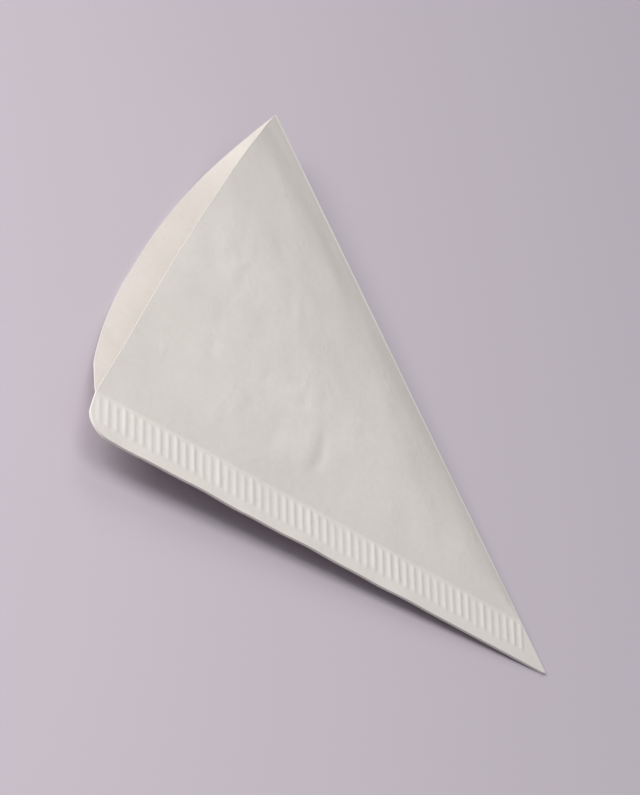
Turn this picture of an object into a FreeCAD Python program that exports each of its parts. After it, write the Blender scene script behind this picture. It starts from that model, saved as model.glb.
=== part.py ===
import FreeCAD, Part
import Sketcher
import os

# Pointed paper coffee filter, lying a little open: one folded and crimped sheet.
# It is drawn in the plane of its two straight edges, with its tip at the origin and its
# mouth towards +Y, and is then tilted so that it lies on its underside.
# Paper bends one way only, so the opened layers are cones and planes through one point,
# which is here called the pocket's point.

NODE = "paper_filter"

# Driving dimensions, in millimetres and degrees.
SIZES = {
    "side_length": 125.0,       # tip to mouth corner, along either straight edge
    "point_angle": 60.0,        # between the fold and the crimped edge
    "mouth_rise": 5.5,          # mouth curve beyond the line between its corners
    "corner_radius": 4.0,       # rounded corner at the crimped end of the mouth
    "tip_radius": 0.6,
    "paper": 0.25,              # one layer
    "fold_land": 0.6,           # strip along the fold where the layers lie together
    "fold_rounding": 0.2,
    "crimp_margin": 2.4,        # plain strip outside the crimp marks
    "mark_length": 7.0,
    "mark_width": 1.0,
    "mark_pitch": 2.2,
    "mark_depth": 0.2,
    "mark_lean": 6.0,           # marks lean towards the tip
    "crimp_inset": 0.6,         # pressed strip inside the crimp marks
    "tip_plain": 5.8,           # plain stretch between the tip and the first mark
    "mouth_plain": 3.4,         # plain stretch between the last mark and the corner
    "top_bow": 9.2,             # height of the upper layer above the edges, at the mouth
    "bottom_bow": 8.0,          # depth of the lower layer below the edges, at the mouth
    "belly_width": 38.0,        # flat stretch of the lower layer, at the mouth
}

# Working values for the construction, which don't change the filter itself.
HALF_TURN = 180.0
FULL_TURN = 360.0
CUT_OVER = 2.0                  # how far solids run past the outline that trims them
POINT_START = 0.6               # the opened layers start this far from the pocket's point
ON_FOLD = 1e-7                  # sideways room for an edge that lies on the fold

doc = FreeCAD.newDocument("coffee_filter")
sheet = doc.addObject("Spreadsheet::Sheet", "Sizes")
for row, (alias, size) in enumerate(SIZES.items(), start=1):
    sheet.set(f"A{row}", alias)
    sheet.set(f"B{row}", str(size))
    sheet.setAlias(f"B{row}", alias)
doc.recompute()

# Derived sizes, each one written once as an expression on the sheet.
HALF = "(Sizes.point_angle / 2)"
BAND = "(Sizes.crimp_margin + Sizes.mark_length + Sizes.crimp_inset)"
CORNER_X = f"(Sizes.side_length * sin({HALF}))"
CORNER_Y = f"(Sizes.side_length * cos({HALF}))"
MOUTH_RADIUS = f"(({CORNER_X} ^ 2 + Sizes.mouth_rise ^ 2) / (2 * Sizes.mouth_rise))"
MOUTH_TOP = f"({CORNER_Y} + Sizes.mouth_rise)"
POCKET_X = f"(({BAND} - Sizes.fold_land) / (2 * cos({HALF})))"
POCKET_Y = f"(({BAND} + Sizes.fold_land) / (2 * sin({HALF})))"
POCKET_REACH = f"({MOUTH_TOP} - {POCKET_Y})"
CONE_REACH = f"(({POCKET_REACH} + {CUT_OVER}) / cos({HALF}))"

# The upper layer is one upright cone through both straight edges of the pocket and its top
# line. Its axis dips below the plane of the edges.
TOP_SLOPE = f"atan(Sizes.top_bow / {POCKET_REACH})"
TOP_DIP = f"atan((cos({TOP_SLOPE}) - cos({HALF})) / sin({TOP_SLOPE}))"
TOP_ANGLE = f"({TOP_DIP} + {TOP_SLOPE})"

# The lower layer is a flat belly between two cones, each of which leaves the belly smoothly
# along one line and ends at a straight edge of the pocket.
BELLY_SLOPE = f"atan(Sizes.bottom_bow / {POCKET_REACH})"
# The belly's half width grows by this share of the distance from the pocket's point.
BELLY_SPREAD = f"(Sizes.belly_width * cos({BELLY_SLOPE}) / (2 * {POCKET_REACH}))"
BELLY_TURN = f"atan({BELLY_SPREAD})"
EDGE_ALONG = (f"(cos({HALF}) * cos({BELLY_SLOPE}) * cos({BELLY_TURN})"
              f" + sin({HALF}) * sin({BELLY_TURN}))")
EDGE_ABOVE = f"(cos({HALF}) * sin({BELLY_SLOPE}))"
SIDE_ANGLE = f"atan((1 - {EDGE_ALONG}) / {EDGE_ABOVE})"
LOWER_HEIGHT = f"(Sizes.bottom_bow + {CUT_OVER})"

LEAN_SHIFT = "(Sizes.mark_length * tan(Sizes.mark_lean))"
MARK_RUN = f"(Sizes.side_length - Sizes.tip_plain - Sizes.mouth_plain - {LEAN_SHIFT})"
MARK_COUNT = f"(floor({MARK_RUN} / Sizes.mark_pitch) + 1)"
TILT = f"atan(Sizes.bottom_bow / {MOUTH_TOP})"


def number(expression):
    """Return the present value of an expression on the sheet."""
    value = sheet.evalExpression(expression)
    return float(getattr(value, "Value", value))


def plane(body, role):
    """Return one of the body's own origin planes."""
    return next(item for item in body.Origin.OriginFeatures if item.Role == role)


def sketch_on(body, name, role, offset="0", turn="0"):
    """Add a sketch on an origin plane, moved along the plane's normal and turned about it."""
    sketch = body.newObject("Sketcher::SketchObject", name)
    sketch.AttachmentSupport = [(plane(body, role), "")]
    sketch.MapMode = "FlatFace"
    sketch.setExpression("AttachmentOffset.Base.z", offset)
    sketch.setExpression("AttachmentOffset.Rotation.Angle", turn)
    return sketch


def bind(sketch, name, kind, elements, expression):
    """Add a sketch constraint whose value follows an expression."""
    index = sketch.addConstraint(Sketcher.Constraint(kind, *elements, number(expression)))
    sketch.renameConstraint(index, name)
    sketch.setExpression(f"Constraints.{name}", expression)


def join(sketch, kind, *elements):
    """Add a sketch constraint that has no value."""
    sketch.addConstraint(Sketcher.Constraint(kind, *elements))


def line_between(start, end):
    """Return the straight line between two points."""
    return Part.LineSegment(FreeCAD.Vector(*start, 0), FreeCAD.Vector(*end, 0))


def draw_loop(sketch, corners):
    """Draw straight lines from corner to corner that close into a loop."""
    following = [(i + 1) % len(corners) for i in range(len(corners))]
    sketch.addGeometry([line_between(corners[i], corners[j]) for i, j in enumerate(following)],
                       False)
    for i, j in enumerate(following):
        join(sketch, "Coincident", i, 2, j, 1)


def direction(*parts):
    """Return a unit vector whose parts are expressions on the sheet."""
    return FreeCAD.Vector(*[number(part) for part in parts]).normalize()


def cone_at_point(name, angle, axis, side, sweep, level):
    """Add a solid cone with its point at the pocket's point, raised to a level.

    A sweep below a full turn keeps the part of the cone that lies towards side.
    """
    cone = doc.addObject("Part::Cone", name)
    cone.Radius1 = 0
    cone.setExpression("Height", CONE_REACH)
    cone.setExpression("Radius2", f"{CONE_REACH} * tan({angle})")
    cone.Angle = sweep
    point = FreeCAD.Vector(number(POCKET_X), number(POCKET_Y), number(level))
    turn = FreeCAD.Rotation(side.cross(axis), side, axis, "ZYX")
    cone.Placement = FreeCAD.Placement(point, turn)
    return cone


def slab(name, low, height):
    """Add a box over the whole pocket that starts at a low level and has a height."""
    box = doc.addObject("Part::Box", name)
    box.setExpression("Length", f"2 * {CONE_REACH}")
    box.setExpression("Width", f"{POCKET_REACH} + {CUT_OVER} - {POINT_START}")
    box.setExpression("Height", height)
    box.setExpression("Placement.Base.x", f"{POCKET_X} - {CONE_REACH}")
    box.setExpression("Placement.Base.y", f"{POCKET_Y} + {POINT_START}")
    box.setExpression("Placement.Base.z", low)
    return box


def fuse(name, shapes):
    """Add the union of several objects."""
    union = doc.addObject("Part::MultiFuse", name)
    union.Shapes = shapes
    return union


def combine(kind, name, base, tool):
    """Add a cut or a common part of two objects."""
    result = doc.addObject(f"Part::{kind}", name)
    result.Base = base
    result.Tool = tool
    return result


def space_above(name, level):
    """Return the solid between the upper layer's cone and a level."""
    axis = direction("0", f"cos({TOP_DIP})", f"-sin({TOP_DIP})")
    side = axis.cross(FreeCAD.Vector(1, 0, 0))
    cone = cone_at_point(f"{name}_cone", TOP_ANGLE, axis, side, FULL_TURN, level)
    above = slab(f"{name}_slab", level, f"Sizes.top_bow + {CUT_OVER}")
    return combine("Common", name, cone, above)


def belly_block(name, level):
    """Add the block over the flat belly, between the lines where the cones leave it."""
    block = doc.addObject("Part::Wedge", name)
    near = f"({POINT_START} / 2)"
    sizes = {"Xmin": f"-{BELLY_SPREAD} * {near}", "Xmax": f"{BELLY_SPREAD} * {near}",
             "X2min": f"-{BELLY_SPREAD} * {CONE_REACH}", "X2max": f"{BELLY_SPREAD} * {CONE_REACH}",
             "Ymin": near, "Ymax": CONE_REACH,
             "Zmin": "0", "Zmax": LOWER_HEIGHT, "Z2min": "0", "Z2max": LOWER_HEIGHT}
    for size, expression in sizes.items():
        block.setExpression(size, expression)
    point = FreeCAD.Vector(number(POCKET_X), number(POCKET_Y), number(level))
    turn = FreeCAD.Rotation(FreeCAD.Vector(1, 0, 0), -number(BELLY_SLOPE))
    block.Placement = FreeCAD.Placement(point, turn)
    return block


def space_below(name, level):
    """Return the solid between the lower layer's belly and cones and a level."""
    pieces = [belly_block(f"{name}_belly", level)]
    upright = direction("0", f"sin({BELLY_SLOPE})", f"cos({BELLY_SLOPE})")
    for hand, sign in (("right", 1), ("left", -1)):
        leaving = direction(f"{sign} * sin({BELLY_TURN})",
                            f"cos({BELLY_TURN}) * cos({BELLY_SLOPE})",
                            f"-cos({BELLY_TURN}) * sin({BELLY_SLOPE})")
        axis = leaving * number(f"cos({SIDE_ANGLE})") + upright * number(f"sin({SIDE_ANGLE})")
        side = leaving.cross(upright) * sign
        pieces.append(cone_at_point(f"{name}_{hand}", SIDE_ANGLE, axis, side, HALF_TURN, level))
    below = slab(f"{name}_slab", f"{level} - {LOWER_HEIGHT}", LOWER_HEIGHT)
    return combine("Common", name, fuse(f"{name}_pieces", pieces), below)


def blank_sketch(body):
    """Draw the flat blank: its right side is the fold, and it overruns all the other edges."""
    sketch = sketch_on(body, "blank_outline", "XY_Plane")
    reach = f"({MOUTH_TOP} + {CUT_OVER})"
    spread = f"({reach} * tan({HALF}) + {CUT_OVER})"
    fold_top = f"({reach} * tan({HALF}))"
    fold_low = -CUT_OVER * number(f"tan({HALF})")
    corners = [(fold_low, -CUT_OVER), (number(fold_top), number(reach)),
               (-number(spread), number(reach)), (fold_low - CUT_OVER, -CUT_OVER)]
    draw_loop(sketch, corners)
    join(sketch, "Horizontal", 1)
    join(sketch, "Horizontal", 3)
    join(sketch, "PointOnObject", -1, 1, 0)
    bind(sketch, "tip_overrun", "DistanceY", (0, 1, -1, 1), f"{CUT_OVER}")
    bind(sketch, "mouth_overrun", "DistanceY", (-1, 1, 1, 1), reach)
    bind(sketch, "fold_top", "DistanceX", (-1, 1, 1, 1), fold_top)
    bind(sketch, "blank_spread", "DistanceX", (2, 1, -1, 1), spread)
    bind(sketch, "tip_width", "DistanceX", (3, 1, 0, 1), f"{CUT_OVER}")
    return sketch


def outline_sketch(body):
    """Draw the filter's plan outline."""
    sketch = sketch_on(body, "plan_outline", "XY_Plane")
    half_angle = FreeCAD.Units.Quantity(f"{number(HALF)} deg").getValueAs("rad").Value
    up = FreeCAD.Vector(0, 0, 1)
    tip_radius, corner_radius = number("Sizes.tip_radius"), number("Sizes.corner_radius")
    mouth_radius = number(MOUTH_RADIUS)
    sine, cosine = number(f"sin({HALF})"), number(f"cos({HALF})")

    tip_centre = FreeCAD.Vector(0, tip_radius / sine, 0)
    fold_start = (tip_radius * cosine, tip_centre.y - tip_radius * sine)
    fold_corner = (number(CORNER_X), number(CORNER_Y))
    mouth_centre = FreeCAD.Vector(0, number(MOUTH_TOP) - mouth_radius, 0)

    # The corner's centre lies a radius inside both the crimped edge and the mouth curve.
    inside = FreeCAD.Vector(cosine, sine, 0) * corner_radius
    along = FreeCAD.Vector(-sine, cosine, 0)
    to_inside = inside - mouth_centre
    half_term = to_inside.dot(along)
    reach = (mouth_radius - corner_radius) ** 2 - to_inside.dot(to_inside)
    seam_run = -half_term + (half_term ** 2 + reach) ** 0.5
    corner_centre = inside + along * seam_run
    seam_end = along * seam_run
    outward = (corner_centre - mouth_centre).normalize()
    mouth_turn = FreeCAD.Vector(1, 0, 0).getAngle(outward)
    fold_turn = FreeCAD.Vector(1, 0, 0).getAngle(FreeCAD.Vector(*fold_corner, 0) - mouth_centre)
    half_circle = FreeCAD.Units.Quantity("180 deg").getValueAs("rad").Value

    sketch.addGeometry([
        line_between(fold_start, fold_corner),
        Part.ArcOfCircle(Part.Circle(mouth_centre, up, mouth_radius), fold_turn, mouth_turn),
        Part.ArcOfCircle(Part.Circle(corner_centre, up, corner_radius),
                         mouth_turn, half_circle + half_angle),
        line_between((seam_end.x, seam_end.y), (-fold_start[0], fold_start[1])),
        Part.ArcOfCircle(Part.Circle(tip_centre, up, tip_radius),
                         half_circle + half_angle, 2 * half_circle - half_angle)], False)
    join(sketch, "Coincident", 0, 2, 1, 1)
    join(sketch, "Tangent", 1, 2, 2, 1)
    join(sketch, "Tangent", 2, 2, 3, 1)
    join(sketch, "Tangent", 3, 2, 4, 1)
    join(sketch, "Tangent", 4, 2, 0, 1)
    join(sketch, "PointOnObject", -1, 1, 0)
    join(sketch, "PointOnObject", -1, 1, 3)
    join(sketch, "PointOnObject", 1, 3, -2)
    join(sketch, "PointOnObject", 4, 3, -2)
    bind(sketch, "fold_corner_x", "DistanceX", (-1, 1, 0, 2), CORNER_X)
    bind(sketch, "fold_corner_y", "DistanceY", (-1, 1, 0, 2), CORNER_Y)
    bind(sketch, "mouth_radius", "Radius", (1,), MOUTH_RADIUS)
    bind(sketch, "corner_radius", "Radius", (2,), "Sizes.corner_radius")
    bind(sketch, "tip_radius", "Radius", (4,), "Sizes.tip_radius")
    return sketch


def mark_sketch(body, name, level):
    """Draw the crimp mark nearest the tip, with its H axis along the crimped edge."""
    sketch = sketch_on(body, name, "XY_Plane", level, f"90 + {HALF}")
    near, width = number("Sizes.tip_plain"), number("Sizes.mark_width")
    shift = number(LEAN_SHIFT)
    low = -number("Sizes.crimp_margin")
    high = low - number("Sizes.mark_length")
    corners = [(near, high), (near + width, high),
               (near + width + shift, low), (near + shift, low)]
    draw_loop(sketch, corners)
    join(sketch, "Horizontal", 0)
    join(sketch, "Horizontal", 2)
    join(sketch, "Parallel", 1, 3)
    bind(sketch, "mark_width", "DistanceX", (0, 1, 0, 2), "Sizes.mark_width")
    bind(sketch, "tip_plain", "DistanceX", (-1, 1, 0, 1), "Sizes.tip_plain")
    bind(sketch, "lean_shift", "DistanceX", (0, 2, 1, 2), LEAN_SHIFT)
    bind(sketch, "margin", "DistanceY", (1, 2, -1, 1), "Sizes.crimp_margin")
    bind(sketch, "mark_length", "DistanceY", (0, 2, 1, 2), "Sizes.mark_length")
    return sketch


def repeat_marks(body, name, feature, sketch):
    """Repeat a crimp mark along the crimped edge."""
    pattern = body.newObject("PartDesign::LinearPattern", name)
    pattern.Originals = [feature]
    pattern.Direction = (sketch, ["H_Axis"])
    pattern.setExpression("Length", f"({MARK_COUNT} - 1) * Sizes.mark_pitch")
    pattern.setExpression("Occurrences", MARK_COUNT)
    body.Tip = pattern
    return pattern


def fold_edges(shape):
    """Return the names of the two long outer edges of the fold."""
    corner = FreeCAD.Vector(number(CORNER_X), number(CORNER_Y), 0)
    along = FreeCAD.Vector(corner).normalize()
    names = []
    for index, edge in enumerate(shape.Edges, start=1):
        ends = [vertex.Point for vertex in edge.Vertexes]
        flat = [FreeCAD.Vector(point.x, point.y, 0) for point in ends]
        on_fold = all(point.cross(along).Length < ON_FOLD * corner.Length for point in flat)
        long = len(ends) == 2 and (flat[1] - flat[0]).Length > corner.Length / 2
        if on_fold and long:
            names.append(f"Edge{index}")
    return names


def build_pressed_sheet():
    """Build the two layers pressed flat together, folded on one side and crimped on the other."""
    body = doc.addObject("PartDesign::Body", "pressed_sheet")
    blank = body.newObject("PartDesign::Pad", "two_layers")
    blank.Profile = blank_sketch(body)
    blank.SideType = "Symmetric"
    blank.setExpression("Length", "2 * Sizes.paper")
    doc.recompute()

    folded = body.newObject("PartDesign::Fillet", "rounded_fold")
    folded.Base = (blank, fold_edges(blank.Shape))
    folded.setExpression("Radius", "Sizes.fold_rounding")
    body.Tip = folded
    doc.recompute()

    rib_sketch = mark_sketch(body, "rib_outline", "Sizes.paper")
    rib = body.newObject("PartDesign::Pad", "crimp_rib")
    rib.Profile = rib_sketch
    rib.setExpression("Length", "Sizes.mark_depth")
    repeat_marks(body, "crimp_ribs", rib, rib_sketch)
    doc.recompute()

    groove_sketch = mark_sketch(body, "groove_outline", "-Sizes.paper")
    groove = body.newObject("PartDesign::Pocket", "crimp_groove")
    groove.Profile = groove_sketch
    groove.Reversed = True
    groove.setExpression("Length", "Sizes.mark_depth")
    repeat_marks(body, "crimp_grooves", groove, groove_sketch)
    doc.recompute()
    return body


def build_outline():
    """Build the upright block whose plan is the filter's outline."""
    body = doc.addObject("PartDesign::Body", "trimmed_edges")
    block = body.newObject("PartDesign::Pad", "outline_block")
    block.Profile = outline_sketch(body)
    block.SideType = "Symmetric"
    block.setExpression("Length", f"2 * (Sizes.top_bow + Sizes.bottom_bow + {CUT_OVER})")
    doc.recompute()
    return body


def build_filter():
    """Open the pressed layers from the mouth towards the point, and trim the edges."""
    opened = fuse("opened_layers", [build_pressed_sheet(),
                                    space_above("above_upper_layer", "Sizes.paper"),
                                    space_below("below_lower_layer", "-Sizes.paper")])
    inside = fuse("inside", [space_above("upper_inside", "0"), space_below("lower_inside", "0")])
    hollow = combine("Cut", "hollow_layers", opened, inside)
    whole = combine("Common", NODE, hollow, build_outline())
    whole.Label = NODE
    doc.recompute()
    return whole


def lay_down(part):
    """Tilt the filter onto its underside, with the origin below the middle of its box."""
    tilt = FreeCAD.Rotation(FreeCAD.Vector(1, 0, 0), number(TILT))
    part.Placement = FreeCAD.Placement(FreeCAD.Vector(0, 0, 0), tilt)
    box = part.Shape.optimalBoundingBox(False, False)
    base = FreeCAD.Vector(-box.Center.x, -box.Center.y, -box.ZMin)
    part.Placement = FreeCAD.Placement(base, tilt)
    doc.recompute()


def check_model(part):
    """Stop with a plain message if any object has failed or the solid isn't sound."""
    for item in doc.Objects:
        if "Invalid" in item.State or "Error" in item.State:
            raise RuntimeError(f"{item.Name} failed: {item.State}")
    shape = part.Shape
    if shape.isNull() or not shape.isValid() or len(shape.Solids) != 1:
        raise RuntimeError(f"{part.Label} isn't one valid solid")


paper_filter = build_filter()
lay_down(paper_filter)
check_model(paper_filter)
os.makedirs("parts", exist_ok=True)
paper_filter.Shape.exportStep(f"parts/{paper_filter.Label}.step")

box = paper_filter.Shape.optimalBoundingBox(False, False)
print(f"{NODE}: volume {paper_filter.Shape.Volume:.1f} mm3, crimp marks {number(MARK_COUNT):.0f}")
print(f"box x {box.XMin:.3f} to {box.XMax:.3f}, y {box.YMin:.3f} to {box.YMax:.3f}, "
      f"z {box.ZMin:.3f} to {box.ZMax:.3f}, tilt {number(TILT):.3f} degrees")
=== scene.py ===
"""Paper coffee filter: the finished look of one folded and crimped sheet, on a pale floor.

The sheet is drawn as the solid is: in the plane of its two straight edges, in millimetres,
with its tip at the origin and its mouth towards +Y. Points in that plane are plan points.
Beside a straight edge they are given by their distances along it, from the tip, and inside
it. Everything is then laid down onto the frame's floor and scaled to metres.
"""

import logging
import math
from dataclasses import dataclass, field
from enum import Enum
from typing import Iterable, Mapping, Sequence, Union

import bpy
import numpy as np
from mathutils import Matrix, Vector


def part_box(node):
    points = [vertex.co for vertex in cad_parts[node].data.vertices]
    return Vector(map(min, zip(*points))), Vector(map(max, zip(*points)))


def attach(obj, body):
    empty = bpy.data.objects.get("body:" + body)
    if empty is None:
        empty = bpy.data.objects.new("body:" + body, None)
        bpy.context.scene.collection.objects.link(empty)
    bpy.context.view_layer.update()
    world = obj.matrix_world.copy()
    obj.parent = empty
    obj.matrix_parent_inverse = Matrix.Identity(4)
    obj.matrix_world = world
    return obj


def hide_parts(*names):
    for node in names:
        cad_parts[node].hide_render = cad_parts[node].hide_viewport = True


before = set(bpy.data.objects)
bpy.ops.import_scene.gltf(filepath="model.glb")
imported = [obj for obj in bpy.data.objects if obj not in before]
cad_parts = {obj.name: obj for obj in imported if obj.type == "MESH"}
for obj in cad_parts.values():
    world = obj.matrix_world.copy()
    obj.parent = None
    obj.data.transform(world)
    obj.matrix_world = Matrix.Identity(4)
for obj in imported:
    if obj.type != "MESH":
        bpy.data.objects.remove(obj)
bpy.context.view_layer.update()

LOG = logging.getLogger("paper_filter")
NODE = "paper_filter"
BODY = "root"
MM = 0.001
SEED = 7
ON_STRIP = 1e-7                 # room inside, in millimetres, that still counts as none
TINY = 1e-9                     # keeps a divisor away from nothing

Triple = tuple[float, float, float]
Rgba = tuple[float, float, float, float]


class Layer(Enum):
    """The four faces of the two layers, from the top down."""

    UPPER_OUTER = "upper_outer"
    UPPER_INNER = "upper_inner"
    LOWER_INNER = "lower_inner"
    LOWER_OUTER = "lower_outer"

    @property
    def is_upper(self) -> bool:
        """Whether the face belongs to the upper layer."""
        return self in (Layer.UPPER_OUTER, Layer.UPPER_INNER)

    @property
    def is_outer(self) -> bool:
        """Whether the face is on the outside of the filter."""
        return self in (Layer.UPPER_OUTER, Layer.LOWER_OUTER)


def smooth_step(value: np.ndarray) -> np.ndarray:
    """Ease from 0 to 1 as the value goes from 0 to 1, with level ends."""
    held = np.clip(value, 0.0, 1.0)
    return held * held * (3.0 - 2.0 * held)


def unit(ways: np.ndarray) -> np.ndarray:
    """Scale vectors to a length of 1."""
    return ways / np.linalg.norm(ways, axis=-1, keepdims=True)


def add_item(name: str, data: bpy.types.ID) -> bpy.types.Object:
    """Make an object and put it into the scene.

    Args:
        name: Name of the object.
        data: Its mesh, lamp or camera.

    Returns:
        The object.
    """
    item = bpy.data.objects.new(name, data)
    bpy.context.scene.collection.objects.link(item)
    return item


@dataclass(frozen=True)
class Edge:
    """One of the two straight edges, which meet in the sharp tip.

    Attributes:
        side: -1 for the crimped edge and 1 for the fold.
        half_angle: Half of the angle between the two edges, in degrees.
    """

    side: float
    half_angle: float

    @property
    def along(self) -> np.ndarray:
        """Unit vector along the edge, away from the tip."""
        angle = math.radians(self.half_angle)
        return np.array([self.side * math.sin(angle), math.cos(angle)])

    @property
    def inward(self) -> np.ndarray:
        """Unit vector from the edge into the sheet."""
        angle = math.radians(self.half_angle)
        return np.array([-self.side * math.cos(angle), math.sin(angle)])

    def point(self, along: np.ndarray, inside: np.ndarray) -> np.ndarray:
        """Plan points from distances along and inside the edge."""
        return np.multiply.outer(along, self.along) + np.multiply.outer(inside, self.inward)


@dataclass(frozen=True)
class Outline:
    """The flat outline of the filter, in the plane of its two straight edges.

    Attributes:
        side_length: Tip to mouth corner along either straight edge.
        half_angle: Half of the angle between the two straight edges, in degrees.
        mouth_rise: Mouth curve beyond the line between its corners.
        corner_radius: Rounded corner at the crimped end of the mouth.
        tip_radius: Rounding of the tip.
        band: Width of the strip that is pressed flat along the crimped edge.
        land: Width of the strip along the fold where the layers lie together.
    """

    side_length: float = 125.0
    half_angle: float = 30.0
    mouth_rise: float = 5.5
    corner_radius: float = 4.0
    tip_radius: float = 0.6
    band: float = 10.0
    land: float = 0.6

    @property
    def sine(self) -> float:
        """Sine of the half angle."""
        return math.sin(math.radians(self.half_angle))

    @property
    def cosine(self) -> float:
        """Cosine of the half angle."""
        return math.cos(math.radians(self.half_angle))

    @property
    def mouth_top(self) -> float:
        """Distance from the tip to the middle of the mouth."""
        return self.side_length * self.cosine + self.mouth_rise

    @property
    def mouth_radius(self) -> float:
        """Radius of the mouth curve."""
        half_width = self.side_length * self.sine
        return (half_width ** 2 + self.mouth_rise ** 2) / (2.0 * self.mouth_rise)

    @property
    def mouth_centre(self) -> np.ndarray:
        """Centre of the mouth curve."""
        return np.array([0.0, self.mouth_top - self.mouth_radius])

    @property
    def tip_start(self) -> float:
        """Distance from the sharp tip at which the straight edges start."""
        return self.tip_radius * self.cosine / self.sine

    @property
    def tip_centre(self) -> np.ndarray:
        """Centre of the tip's rounding."""
        return np.array([0.0, self.tip_radius / self.sine])

    @property
    def seam(self) -> Edge:
        """The crimped edge."""
        return Edge(-1.0, self.half_angle)

    @property
    def fold(self) -> Edge:
        """The folded edge."""
        return Edge(1.0, self.half_angle)

    @property
    def pocket_point(self) -> np.ndarray:
        """Point where the pressed strips along both straight edges meet."""
        return np.array([(self.band - self.land) / (2.0 * self.cosine),
                         (self.band + self.land) / (2.0 * self.sine)])

    @property
    def pocket_reach(self) -> float:
        """Distance from the pocket's point to the middle of the mouth, along +Y."""
        return self.mouth_top - float(self.pocket_point[1])

    @property
    def seam_start(self) -> float:
        """Distance of the pocket's point along the crimped edge."""
        return float(self.pocket_point @ self.seam.along)

    @property
    def fold_start(self) -> float:
        """Distance of the pocket's point along the fold."""
        return float(self.pocket_point @ self.fold.along)

    @property
    def corner_run(self) -> float:
        """Distance along the crimped edge to the centre of the rounded corner."""
        start = self.corner_radius * self.seam.inward
        return float(self.reach_mouth(start, self.seam.along, self.corner_radius))

    @property
    def corner_centre(self) -> np.ndarray:
        """Centre of the rounded corner."""
        return self.seam.point(self.corner_run, self.corner_radius)

    def mouth_outward(self, places: np.ndarray) -> np.ndarray:
        """Unit vectors out of the mouth curve at places on it."""
        return unit(places - self.mouth_centre)

    def reach_mouth(self, start: np.ndarray, heading: np.ndarray,
                    short: float = 0.0) -> np.ndarray:
        """Distance from a start along a heading to the mouth curve.

        Args:
            start: Plan points to leave from.
            heading: Unit vectors, one or one for each start.
            short: How far inside the mouth curve to stop.

        Returns:
            The distance for each start.
        """
        offset = start - self.mouth_centre
        along = np.sum(offset * heading, axis=-1)
        room = (self.mouth_radius - short) ** 2 - np.sum(offset * offset, axis=-1)
        return -along + np.sqrt(along ** 2 + room)

    def seam_end(self, inside: np.ndarray) -> np.ndarray:
        """Where lines beside the crimped edge end, on the mouth curve or its rounded corner.

        Args:
            inside: Distances of the lines from the crimped edge.

        Returns:
            The distance along the crimped edge at which each line ends.
        """
        centre = self.corner_centre
        outward = self.mouth_outward(centre)
        tangent = float((centre + self.corner_radius * outward) @ self.seam.inward)
        starts = self.seam.point(np.zeros_like(inside), inside)
        on_curve = self.reach_mouth(starts, self.seam.along)
        gap = np.clip(self.corner_radius ** 2 - (self.corner_radius - inside) ** 2, 0.0, None)
        return np.where(inside >= tangent, on_curve, self.corner_run + np.sqrt(gap))

    def fold_end(self, inside: np.ndarray) -> np.ndarray:
        """Distance along the fold at which lines beside it meet the mouth curve."""
        starts = self.fold.point(np.zeros_like(inside), inside)
        return self.reach_mouth(starts, self.fold.along)


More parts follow.
